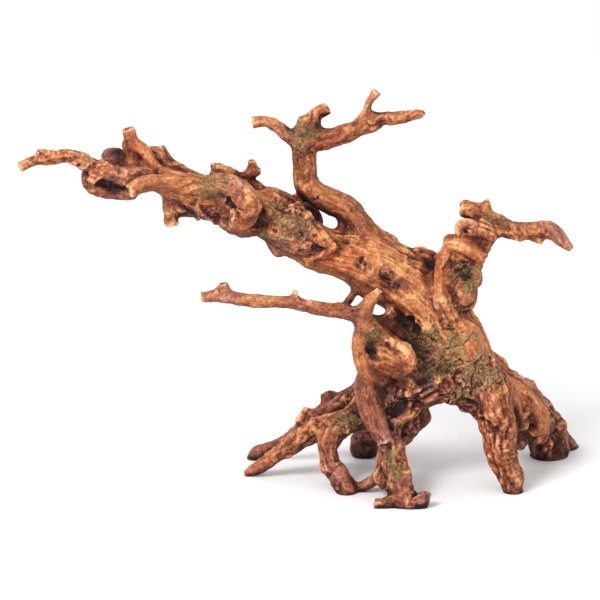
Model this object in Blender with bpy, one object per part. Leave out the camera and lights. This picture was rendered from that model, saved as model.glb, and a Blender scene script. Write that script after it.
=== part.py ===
"""A piece of driftwood: a weathered root crown with a leaning trunk, arched roots and snapped twigs.

The whole piece grew as one, so it is one solid. +X runs to the right along the trunk's fall, +Y
runs to the back and +Z is up. The feet stand on z = 0.
"""

import bmesh
import bpy
from mathutils import Matrix, Vector

MM = 0.001
# Close to the middle of the piece on the floor, in the millimetres the branches are drawn in.
MIDDLE_X = 0.0
MIDDLE_Y = 79.5
# Grid of the skin that joins the branches, and its smoothing.
GRID = 1.5
SMOOTH_STEPS = 3
SMOOTH_SHARE = 0.5
# Wood added all round each branch, which the smoothing takes off again.
SKIN = 0.5
# The branches are joined this much fatter, then drawn back, which fills the creases between them.
FUSE = 2.5
# Triangles kept, before the feet are cut.
TRIANGLES = 11000
# The block that cuts every foot off level at the floor.
FLOOR_SIDE = 700.0
FLOOR_DEPTH = 60.0

# Each branch is a run of points along its heart: x, y, z and the radius there, in millimetres.
BRANCHES = {
    # The trunk leans from the root crown at the lower right up to the thin left end.
    "trunk": [
        (171, 90, 60, 12), (154, 87, 79, 17), (135, 84, 95, 24), (112, 82, 130, 26),
        (90, 82, 156, 25), (68, 80, 172, 23.5), (42, 83, 183, 19.5), (14, 86, 190, 18),
        (-8, 88, 205, 18), (-30, 88, 219, 17), (-52, 86, 229, 15), (-76, 84, 239, 13.5),
        (-98, 82, 245, 12), (-120, 80, 253, 10), (-138, 78, 257, 8), (-150, 78, 258, 6),
    ],
    "trunk_shoulder": [
        (77, 95, 178, 14.5), (90, 94, 176, 13), (101, 92, 175, 12.5), (115, 88, 166, 13),
    ],
    "trunk_front_ridge": [
        (60, 82, 194, 8), (77, 74, 182, 9), (96, 71, 160, 10), (117, 70, 141, 11),
        (134, 71, 119, 12), (145, 75, 100, 11), (156, 80, 86, 9),
    ],
    "trunk_back_ridge": [
        (158, 106, 69, 9), (129, 110, 105, 11), (96, 110, 143, 11), (64, 106, 171, 10),
        (32, 103, 184, 8), (0, 103, 199, 8),
    ],
    # The crown under the trunk, where the roots gather.
    "root_crown": [
        (151, 70, 74, 14), (139, 74, 77, 19), (120, 76, 88, 22.4), (96, 70, 86, 22), (80, 66, 77, 18),
        (69, 62, 66, 13),
    ],
    "crown_core": [(66, 62, 84, 16), (73, 64, 66, 15), (80, 70, 52, 11)],
    "top_knoll": [(92, 90, 183, 8), (103, 88, 181, 7.4)],
    "trunk_chin": [(44, 74, 171, 9), (54, 70, 165, 9), (66, 70, 160, 9)],
    # Two legs stand under the right end.
    "right_front_leg": [
        (143, 78, 98, 14), (150, 68, 83, 15), (156, 58, 68, 13), (159, 53, 51, 12), (160, 50, 36, 12),
        (165, 48, 23, 10.4), (170, 46, 10, 8.8), (171, 44, -1, 8), (172, 43, -11, 7),
    ],
    "leg_knuckle": [(160, 48, 36, 8), (158, 45, 29, 7.4)],
    "leg_root": [(138, 70, 72, 12), (148, 65, 60, 8.4), (153, 60, 48, 8)],
    "leg_edge": [(162, 58, 66, 7), (166, 50, 52, 6), (167, 47, 38, 6), (168, 46, 24, 6)],
    "right_back_leg": [
        (166, 94, 71, 14), (180, 106, 55, 13.4), (193, 117, 41, 14), (198, 127, 25, 14.5),
        (201, 132, 9, 15.5), (202, 137, -9, 15),
    ],
    "right_back_heel": [
        (187, 116, 52, 8.5), (198, 130, 32, 8.5), (206, 143, 14, 8.5), (216, 152, 3, 8),
        (221, 158, -8, 7.5),
    ],
    "right_back_instep": [(194, 124, 36, 12), (203, 135, 18, 12), (209, 147, 4, 10), (212, 152, -10, 9)],
    "right_fold": [
        (140, 79, 97, 14), (157, 78, 84, 12), (171, 83, 75, 12), (181, 90, 62, 12), (187, 97, 49, 11),
        (189, 104, 37, 10), (190, 112, 24, 9.5),
    ],
    "right_strand": [
        (166, 72, 84, 5), (176, 75, 76, 5.5), (184, 78, 67, 6), (190, 82, 58, 6.5), (194, 86, 48, 6.5),
        (193, 90, 39, 5.5), (187, 92, 34, 4),
    ],
    "inner_strand": [(166, 70, 78, 6), (173, 71, 66, 5.4), (177, 75, 54, 5), (179, 79, 43, 4.4)],
    "between_legs_stub": [(170, 95, 47, 8), (175, 100, 31, 7.5), (178, 102, 21, 6)],
    # The roots that spread to the left.
    "left_front_leg": [
        (28, 64, 46, 9.5), (23, 58, 38, 8.5), (23, 54, 29, 7.8), (25, 50, 20, 7.8),
        (32, 46, 12, 8), (36, 42, 3, 7.5), (37, 40, -8, 6.5),
    ],
    "long_root": [
        (61, 70, 62, 13), (40, 67, 52, 11.4), (24, 68, 48, 9), (6, 72, 39, 8),
        (-9, 76, 27, 6.8), (-22, 79, 16, 5.4), (-34, 82, 7, 4.6), (-44, 84, 1, 3.4),
    ],
    "far_root": [
        (62, 86, 68, 12), (42, 93, 60, 9), (24, 99, 51, 7.5), (9, 105, 40, 6.4),
        (-3, 110, 28, 4.6), (-16, 115, 18, 4.4), (-27, 119, 12, 4), (-35, 122, 6, 4.7),
        (-39, 126, -1, 4.4),
    ],
    "far_root_knob": [(3, 104, 40, 5), (0, 101, 38, 4.6)],
    "far_root_strand": [(58, 88, 77, 10), (42, 98, 65, 7), (31, 105, 57, 6), (22, 108, 50, 5)],
    "far_root_stub": [(27, 106, 52, 6.5), (22, 110, 58, 5.5), (21, 112, 61, 5.2)],
    "far_root_thorn": [(6, 105, 44, 3.6), (4, 104, 49, 2.2), (3, 104, 52, 1.3)],
    # The knot of roots in the middle.
    "front_stub": [
        (58, 58, 90, 13), (54, 46, 84, 11), (55, 42, 76, 9.6), (58, 38, 67, 8.6), (62, 34, 58, 8),
        (66, 31, 51, 6.8), (68, 29, 46, 6.2),
    ],
    "front_leg": [
        (69, 56, 56, 11), (72, 46, 46, 9.5), (75, 36, 36, 9), (77, 27, 26, 9),
        (80, 19, 15, 10), (81, 13, 6, 9.5), (80, 9, -1, 8),
    ],
    "front_leg_knots": [(74, 34, 38, 7), (79, 26, 31, 6), (82, 20, 22, 6), (83, 16, 13, 6)],
    "front_leg_bark": [(72, 30, 30, 6), (74, 22, 22, 6.5), (73, 16, 13, 6)],
    "front_toe_right": [(80, 9, 4, 7), (92, 6, 3, 6), (99, 6, 6, 6.2), (101, 7, 11, 5.2)],
    "front_toe_left": [(78, 11, 5, 7), (69, 7, 3, 5.8), (59, 6, 3, 4.6)],
    "front_spur": [
        (70, 42, 39, 6.5), (66, 40, 29, 5), (64, 38, 19, 4.5), (57, 41, 9, 4.8), (46, 46, 2, 4),
    ],
    "front_leg_burl": [(66, 32, 19, 6.5), (69, 28, 11, 6.5)],
    "rear_block": [
        (66, 84, 62, 13), (57, 106, 38, 10.5), (53, 122, 19, 10), (52, 135, 3, 10),
        (52, 145, -10, 9.5),
    ],
    "rear_bend": [
        (87, 80, 72, 12), (93, 84, 59, 9.5), (93, 86, 48, 10), (85, 80, 41, 8.5), (77, 66, 35, 7.5),
        (71, 50, 31, 7.5),
    ],
    "rear_bend_stub": [(93, 62, 64, 4.6), (85, 56, 61, 4.6), (76, 50, 57, 4)],
    "rear_mass": [(76, 70, 68, 13), (82, 74, 56, 12), (86, 78, 46, 9)],
    "rear_cleft": [(90, 72, 72, 8), (95, 76, 64, 6), (96, 80, 55, 6)],
    # The round burl with its rolled lips, in front of the crown.
    "burl": [(58, 50, 119, 11), (66, 46, 113, 14), (75, 48, 108, 14), (84, 56, 99, 14)],
    "burl_roll": [
        (48, 42, 135, 5.2), (47, 39, 126, 5.6), (48, 37, 116, 5.8), (51, 39, 106, 6),
        (57, 41, 98, 6.2), (65, 40, 93, 4.4), (67, 38, 91, 2.4),
    ],
    "burl_lip": [
        (66, 44, 127, 6), (76, 40, 124, 6.2), (84, 38, 119, 6), (86, 39, 111, 6),
        (80, 43, 102, 5.6), (71, 46, 97, 5),
    ],
    # The forked branch that rises from the burl, and the long thin twig it carries.
    "fork": [
        (72, 54, 120, 9), (62, 48, 130, 8.4), (54, 43, 139, 8), (50, 40, 148, 7.6),
        (53, 36, 158, 6), (58, 33, 167, 4.2), (63, 31, 174, 2.1),
    ],
    "long_twig": [
        (50, 40, 150, 6.4), (41, 38, 152, 5.8), (29, 37, 154.5, 5.5), (11, 36, 157.5, 5.2),
        (-6, 36, 161.5, 4.8), (-30, 38, 162.5, 4.5), (-48, 40, 163, 4.4), (-58, 41, 165, 4.5),
        (-69, 41, 166, 4), (-79, 41, 165, 3.8),
    ],
    "long_twig_stub": [(-57, 41, 165, 3.7), (-60, 43, 170, 3.7), (-61, 44, 176, 3.8)],
    "long_twig_thorn": [(-5, 36, 162, 3.7), (-4, 35, 168, 3), (-4, 35, 173, 1.8)],
    "long_twig_bump": [(-66, 40, 167, 3), (-69, 39, 170, 2.4)],
    "bridge_twig": [(34, 42, 155, 3.2), (39, 56, 158, 2.4), (45, 70, 164, 3), (48, 76, 170, 3.5)],
    "fork_nub": [(52, 42, 156, 4), (50, 46, 161, 2.2)],
    "strut": [
        (54, 48, 141, 7), (62, 56, 139, 5), (70, 64, 136, 5.4), (78, 68, 129, 6.2),
        (90, 70, 121, 7.5), (101, 72, 112, 9.5),
    ],
    "strut_nub": [(73, 62, 137, 3.6), (71, 60, 145, 2.2), (70, 59, 147, 1.6)],
    # The bowed branch on top of the trunk, with a small eye at its foot and two arms.
    "bow": [
        (64, 90, 187, 16), (52, 92, 201, 11.6), (46, 94, 212, 10.8), (37, 96, 221, 10.2),
        (24, 97, 227, 9.8), (12, 96, 235, 9.4), (5, 95, 246, 9.4), (4, 94, 260, 9.2),
        (2, 93, 273, 8.8), (2, 92, 283, 10),
    ],
    "bow_inner_leg": [(42, 94, 218, 6.4), (36, 92, 211, 5), (34, 90, 203, 5), (37, 88, 195, 7)],
    "back_spur": [(5, 100, 199, 8), (12, 108, 205, 5), (9, 112, 214, 5.6), (0, 113, 217, 5.2)],
    "left_arm": [
        (2, 92, 281, 9), (-9, 92, 283, 6.8), (-17, 93, 290, 5), (-27, 94, 295, 4.5),
        (-38, 94, 294, 4.9),
    ],
    "bow_bump": [(2, 88, 291, 6), (2, 86, 300, 4)],
    "bow_stub": [(6, 90, 292, 6.4), (13, 92, 300, 4.8), (22, 94, 306, 4.8)],
    "right_arm": [
        (5, 90, 281, 9), (18, 86, 283, 8.2), (32, 80, 288, 7.6), (46, 75, 295, 7),
        (61, 72, 302, 6.2), (74, 70, 305, 5.8), (86, 68, 307, 5), (94, 67, 309, 4),
        (99, 66, 311, 2.4),
    ],
    "right_arm_twig": [
        (49, 74, 301, 4), (52, 73, 310, 3.1), (55, 72, 318, 2.9), (58, 71, 323, 3.4),
        (61, 71, 327, 3.8),
    ],
    # The thick limb on the right, with its knob and the arm that droops to a point.
    "limb": [
        (109, 82, 136, 20), (122, 80, 156, 17), (126, 80, 175, 17.2), (133, 78, 191, 14.5),
        (143, 76, 202, 12), (151, 74, 211, 9.4), (161, 72, 214, 7), (171, 69, 212, 7.2),
        (182, 66, 213, 7.2), (193, 63, 215, 6.8), (201, 60, 214, 6), (208, 57, 208, 4.8),
        (213, 55, 203, 3.2), (217, 54, 199, 1.6),
    ],
    "limb_ring": [(137, 70, 205, 8), (131, 65, 212, 6)],
    "limb_ring_lip": [
        (126, 61, 212, 2.8), (127, 60, 218, 2.8), (132, 59, 221, 2.8), (137, 60, 218, 2.8),
        (138, 61, 212, 2.8),
    ],
    "limb_lobe": [(140, 67, 214, 6), (147, 64, 214, 6.5), (153, 66, 210, 6)],
    "limb_corner": [(124, 72, 193, 11), (118, 70, 205, 4.6)],
    "limb_heel": [(118, 70, 182, 7), (111, 73, 190, 5)],
    "limb_left_ridge": [
        (121, 66, 202, 5), (115, 66, 188, 5.5), (112, 64, 172, 6), (113, 62, 156, 7),
        (118, 60, 142, 8),
    ],
    "limb_right_ridge": [(148, 71, 201, 6), (140, 68, 184, 5), (136, 66, 170, 6), (128, 64, 156, 7)],
    "limb_brow": [
        (116, 68, 200, 4), (127, 61, 202, 4.6), (136, 60, 198, 4.8), (142, 63, 190, 4.2),
        (142, 65, 184, 3),
    ],
    "limb_bump": [(131, 78, 170, 11), (143, 76, 169, 6)],
    "knob_neck": [(146, 74, 210, 8), (147, 75, 218, 5.4), (146, 76, 224, 5.6)],
    "knob": [(130, 78, 227, 6), (141, 77, 226, 6), (149, 76, 228, 4.8)],
    "knob_peak": [(148, 76, 229, 4.4), (149, 76, 236, 1.6)],
    "knob_ledge": [(147, 72, 218, 5.6), (156, 72, 221, 4), (163, 72, 221, 2.4)],
    "limb_drip": [(174, 66, 210, 5), (182, 64, 209, 4.6), (189, 63, 208, 4.4), (193, 62, 206, 3.4)],
    "limb_drip_inner": [(174, 66, 210, 6.2), (178, 64, 206, 3.4)],
    # The gnarled left end: fingers, stubs and the lobe that hangs below them.
    "finger": [
        (-120, 75, 255, 8), (-134, 70, 257, 7.2), (-146, 67, 259, 6.4), (-159, 64, 265, 5.8),
        (-170, 61, 271, 5.6), (-183, 58, 277, 6), (-195, 56, 277, 6), (-206, 54, 276, 5.4),
        (-215, 52, 273, 4.6), (-223, 51, 270, 3.4),
    ],
    "finger_nub": [(-197, 53, 279, 4), (-204, 50, 282, 3), (-209, 49, 283, 2.6)],
    "finger_thumb": [(-157, 63, 265, 4.8), (-162, 56, 261, 4.2), (-167, 52, 257, 3.4)],
    "under_lobe": [
        (-163, 74, 261, 5.6), (-169, 74, 253, 5.6), (-160, 76, 246, 6.4), (-143, 78, 242, 6.4),
        (-128, 80, 246, 6.5), (-112, 82, 249, 7),
    ],
    "second_finger": [
        (-70, 76, 245, 8), (-91, 66, 252, 6.4), (-110, 62, 255, 5.8), (-123, 58, 255, 5.6),
        (-131, 55, 252, 5.2), (-136, 53, 250, 4.3),
    ],
    "upright": [
        (-112, 76, 254, 6.4), (-119, 76, 266, 4.6), (-125, 77, 276, 4.5), (-133, 78, 282, 4.9),
        (-136, 78, 289, 4.8), (-137, 78, 294, 4.8),
    ],
    "upright_strand": [(-133, 82, 257, 6.2), (-136, 80, 271, 5), (-138, 79, 282, 4.2)],
    "rear_knuckle": [
        (-125, 90, 257, 8), (-140, 92, 264, 7.6), (-150, 92, 269, 5.6), (-157, 89, 265, 4),
    ],
    "knuckle_web": [(-126, 84, 260, 8), (-140, 84, 262, 7), (-151, 82, 263, 5.6), (-160, 78, 262, 4)],
    "flat_stub": [(-72, 94, 241, 7), (-90, 97, 247, 6), (-105, 98, 260, 6), (-114, 97, 270, 6.6)],
    "flat_stub_web": [(-92, 92, 248, 7), (-106, 92, 258, 6.5), (-115, 93, 267, 6.5), (-120, 93, 269, 4.6)],
    "ridge_strand": [(-94, 92, 244, 6), (-83, 92, 246, 5.4), (-74, 94, 245, 5.4), (-64, 96, 242, 6)],
    "down_stub": [(-102, 80, 239, 5.2), (-104, 80, 229, 4), (-104, 80, 219, 3.7), (-103, 80, 214, 3)],
    "under_bark": [
        (-102, 82, 238, 7.2), (-93, 83, 230, 9), (-82, 84, 227, 9.6), (-67, 85, 225, 9.8),
        (-54, 85, 220, 10),
    ],
    "elbow": [
        (-74, 74, 246, 7.5), (-59, 66, 251, 8), (-48, 60, 246, 9), (-41, 57, 237, 9.5),
        (-42, 54, 229, 8.6), (-49, 51, 226, 7), (-55, 50, 227, 5.8),
    ],
    "elbow_web": [(-62, 74, 240, 8), (-52, 68, 236, 8), (-46, 64, 230, 7)],
    "gnarl": [(-30, 76, 226, 7), (-22, 70, 222, 7.5), (-13, 66, 219, 7.5), (-5, 66, 213, 7)],
    "gnarl_lumps": [(-27, 70, 212, 6), (-18, 65, 210, 6.5), (-8, 64, 206, 6), (2, 66, 203, 6)],
    "gnarl_below": [(-20, 72, 208, 7), (-8, 68, 204, 8), (4, 68, 200, 7)],
    "under_strand": [
        (-59, 78, 218, 8), (-45, 77, 212, 8.4), (-30, 78, 211, 8.8), (-13, 82, 198, 9.6),
        (5, 84, 187, 9.6),
    ],
    "ragged_stub": [
        (-29, 98, 228, 8), (-41, 102, 239, 6.2), (-52, 104, 246, 5), (-63, 104, 250, 4.6),
        (-72, 103, 252, 4.4),
    ],
    "ragged_stub_lumps": [(-56, 102, 248, 4.6), (-60, 100, 252, 4.4), (-66, 101, 255, 3.4)],
    "star_twig": [(-39, 100, 240, 4), (-42, 100, 247, 3.7), (-40, 100, 254, 3.2), (-39, 100, 261, 3)],
    "star_twig_side": [(-41, 100, 251, 3.3), (-36, 100, 252, 3), (-31, 100, 252, 2.6)],
    "ridge_lumps": [(-26, 96, 231, 7.6), (-13, 94, 228, 6.6), (-5, 92, 221, 6)],
    "moss_burl": [(-8, 78, 220, 10.4), (2, 74, 214, 10.4)],
    "folded_lip": [
        (8, 72, 211, 5.4), (19, 68, 206, 5.4), (23, 67, 201, 5.6), (16, 70, 193, 5.6),
        (5, 74, 190, 6),
    ],
    # Two short stubs on the back.
    "back_stub": [(83, 106, 155, 10.4), (87, 124, 158, 7.6), (90, 136, 160, 6)],
    "back_stub_left": [(-48, 100, 222, 8.8), (-54, 116, 219, 6.4), (-62, 128, 218, 5)],
}

# The branches that were snapped off flat. Every other end is a dome.
SNAPPED = {
    "front_stub", "rear_bend_stub", "fork", "long_twig", "long_twig_stub", "left_arm", "bow_stub",
    "right_arm_twig", "knob_peak", "finger", "finger_nub", "finger_thumb", "second_finger", "upright",
    "flat_stub", "down_stub", "elbow", "ragged_stub", "star_twig", "star_twig_side", "far_root_stub",
    "back_stub", "back_stub_left", "front_toe_left", "strut_nub",
}

# Round hollows: the eye in the limb's ring, the socket in the burl and the pocket above the strut.
HOLLOWS = [(131, 57, 215, 3.4), (57, 32, 124, 4.5), (86, 60, 138, 6.0)]


def clear_scene():
    for obj in list(bpy.data.objects):
        bpy.data.objects.remove(obj, do_unlink=True)


def wood_material():
    material = bpy.data.materials.new("wood")
    material.use_nodes = True
    shader = material.node_tree.nodes["Principled BSDF"]
    shader.inputs["Base Color"].default_value = (0.30, 0.13, 0.06, 1.0)
    shader.inputs["Roughness"].default_value = 0.65
    shader.inputs["Metallic"].default_value = 0.0
    return material


def placed(x, y, z):
    """A drawn point in metres, in the part's frame."""
    return Vector(((x - MIDDLE_X) * MM, (y - MIDDLE_Y) * MM, z * MM))


def dome(place, inside, radius):
    """Two more points that close an end as a dome."""
    outward = (place - inside).normalized() * radius
    return [(place + outward * 0.5, radius * 0.85), (place + outward * 0.85, radius * 0.45)]


def with_ends(name, points):
    """The points with a dome at the start, and a dome or a flat break at the end."""
    spread = [(Vector(point[:3]), point[3]) for point in points]
    start = dome(spread[0][0], spread[1][0], spread[0][1])[::-1]
    end = dome(spread[-1][0], spread[-2][0], spread[-1][1])
    if name in SNAPPED:
        outward = (spread[-1][0] - spread[-2][0]).normalized() * FUSE
        end = [(spread[-1][0] + outward, spread[-1][1])]
    return start + spread + end


def branch_mesh(name, points):
    """A closed tapered tube along the points, with flat ends."""
    curve = bpy.data.curves.new(name, "CURVE")
    curve.dimensions = "3D"
    curve.bevel_depth = 1.0
    curve.bevel_resolution = 4
    curve.resolution_u = 6
    curve.use_fill_caps = True
    spline = curve.splines.new("BEZIER")
    spline.radius_interpolation = "CARDINAL"
    spread = with_ends(name, points)
    spline.bezier_points.add(len(spread) - 1)
    for knot, (place, radius) in zip(spline.bezier_points, spread):
        knot.co = placed(*place)
        knot.radius = (radius + SKIN + FUSE) * MM
        knot.handle_left_type = "AUTO"
        knot.handle_right_type = "AUTO"
    tube = bpy.data.objects.new(name, curve)
    bpy.context.scene.collection.objects.link(tube)
    graph = bpy.context.evaluated_depsgraph_get()
    mesh = bpy.data.meshes.new_from_object(tube.evaluated_get(graph))
    bpy.data.objects.remove(tube, do_unlink=True)
    return mesh


def joined_branches():
    """All the tubes as one mesh that still overlaps itself."""
    work = bmesh.new()
    for name, points in BRANCHES.items():
        mesh = branch_mesh(name, points)
        work.from_mesh(mesh)
        bpy.data.meshes.remove(mesh)
    bmesh.ops.remove_doubles(work, verts=work.verts, dist=1e-6)
    mesh = bpy.data.meshes.new("driftwood")
    work.to_mesh(mesh)
    work.free()
    return mesh


def apply_modifiers(obj):
    bpy.context.view_layer.update()
    graph = bpy.context.evaluated_depsgraph_get()
    mesh = bpy.data.meshes.new_from_object(obj.evaluated_get(graph))
    obj.modifiers.clear()
    obj.data = mesh


def add_boolean(obj, cutter):
    boolean = obj.modifiers.new("cut", "BOOLEAN")
    boolean.operation = "DIFFERENCE"
    boolean.solver = "EXACT"
    boolean.object = cutter


def hidden_cutter(name, work):
    mesh = bpy.data.meshes.new(name)
    bmesh.ops.recalc_face_normals(work, faces=work.faces)
    work.to_mesh(mesh)
    work.free()
    cutter = bpy.data.objects.new(name, mesh)
    bpy.context.scene.collection.objects.link(cutter)
    cutter.hide_render = True
    cutter.display_type = "WIRE"
    return cutter


def hollow_cutter():
    work = bmesh.new()
    for x, y, z, radius in HOLLOWS:
        bmesh.ops.create_icosphere(
            work, subdivisions=3, radius=radius * MM, matrix=Matrix.Translation(placed(x, y, z))
        )
    return hidden_cutter("hollows", work)


def floor_cutter():
    work = bmesh.new()
    bmesh.ops.create_cube(work, size=1.0)
    size = Vector((FLOOR_SIDE * MM, FLOOR_SIDE * MM, FLOOR_DEPTH * MM))
    bmesh.ops.scale(work, vec=size, verts=work.verts)
    bmesh.ops.translate(work, vec=(0.0, 0.0, -FLOOR_DEPTH * MM / 2), verts=work.verts)
    return hidden_cutter("floor", work)


def keep_largest_shell(mesh):
    """Drops every shell but the one with the most faces."""
    work = bmesh.new()
    work.from_mesh(mesh)
    work.faces.ensure_lookup_table()
    left = set(work.faces)
    shells = []
    while left:
        start = left.pop()
        shell = [start]
        for face in shell:
            for edge in face.edges:
                for other in edge.link_faces:
                    if other in left:
                        left.discard(other)
                        shell.append(other)
        shells.append(shell)
    shells.sort(key=len)
    for shell in shells[:-1]:
        bmesh.ops.delete(work, geom=shell, context="FACES")
    work.to_mesh(mesh)
    work.free()


def add_remesh(obj, name):
    remesh = obj.modifiers.new(name, "REMESH")
    remesh.mode = "VOXEL"
    remesh.voxel_size = GRID * MM


def add_smooth(obj, name, steps):
    smooth = obj.modifiers.new(name, "SMOOTH")
    smooth.factor = SMOOTH_SHARE
    smooth.iterations = steps


def grow_shell(obj):
    """Joins the tubes into one skin, softens the joints and draws the wood back to its size."""
    add_remesh(obj, "join")
    add_smooth(obj, "soften", SMOOTH_STEPS)
    draw_back = obj.modifiers.new("draw_back", "DISPLACE")
    draw_back.mid_level = 0.0
    draw_back.strength = -FUSE * MM
    add_remesh(obj, "clean")
    add_smooth(obj, "settle", 1)
    apply_modifiers(obj)
    keep_largest_shell(obj.data)


def thin_out(obj):
    decimate = obj.modifiers.new("thin", "DECIMATE")
    decimate.ratio = TRIANGLES / (2 * len(obj.data.polygons))
    decimate.use_collapse_triangulate = True
    apply_modifiers(obj)


def stand_over_origin(mesh):
    """Moves the mesh sideways until its box is centred on the Z axis."""
    xs = [vertex.co.x for vertex in mesh.vertices]
    ys = [vertex.co.y for vertex in mesh.vertices]
    aside = Vector((-(min(xs) + max(xs)) / 2, -(min(ys) + max(ys)) / 2, 0.0))
    mesh.transform(Matrix.Translation(aside))


def main():
    clear_scene()
    obj = bpy.data.objects.new("driftwood", joined_branches())
    bpy.context.scene.collection.objects.link(obj)
    grow_shell(obj)
    add_boolean(obj, hollow_cutter())
    apply_modifiers(obj)
    thin_out(obj)
    add_boolean(obj, floor_cutter())
    apply_modifiers(obj)
    keep_largest_shell(obj.data)
    stand_over_origin(obj.data)
    obj.data.materials.clear()
    obj.data.materials.append(wood_material())


main()
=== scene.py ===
"""Looks for the piece of driftwood: the same branches as the part, with grain, knots, moss and cut ends.

The branches are drawn in millimetres: +X to the right legs, +Y to the back, +Z up, feet on z = 0.
"""

import math
from collections import defaultdict
from itertools import product

import bmesh
import bpy
import numpy as np
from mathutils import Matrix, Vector


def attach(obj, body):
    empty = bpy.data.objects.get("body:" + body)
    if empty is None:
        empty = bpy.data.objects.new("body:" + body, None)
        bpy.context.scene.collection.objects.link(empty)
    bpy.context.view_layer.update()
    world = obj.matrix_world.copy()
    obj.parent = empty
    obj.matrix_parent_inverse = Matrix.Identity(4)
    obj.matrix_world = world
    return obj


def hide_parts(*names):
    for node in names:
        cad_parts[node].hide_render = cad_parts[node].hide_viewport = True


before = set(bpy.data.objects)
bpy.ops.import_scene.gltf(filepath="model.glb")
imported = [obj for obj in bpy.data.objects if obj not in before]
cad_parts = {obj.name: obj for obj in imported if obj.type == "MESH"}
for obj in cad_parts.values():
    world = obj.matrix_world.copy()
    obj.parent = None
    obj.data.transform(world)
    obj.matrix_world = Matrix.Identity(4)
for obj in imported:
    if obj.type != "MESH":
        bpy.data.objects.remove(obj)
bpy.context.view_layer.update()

MM = 0.001
# The drawn point that stands at the part's origin.
MIDDLE_X = 1.223
MIDDLE_Y = 81.013
# Grids of the skin where it is joined and where it is carved, each with its smoothing.
JOIN_GRID = 1.4
JOIN_STEPS = 4
GRID = 0.85
SMOOTH_STEPS = 5
SMOOTH_SHARE = 0.5
# Wood added all round each branch, which the smoothing takes off again.
SKIN = 0.5
# The branches are joined this much fatter, then drawn back, which fills the creases between them.
FUSE = 2.5

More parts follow.
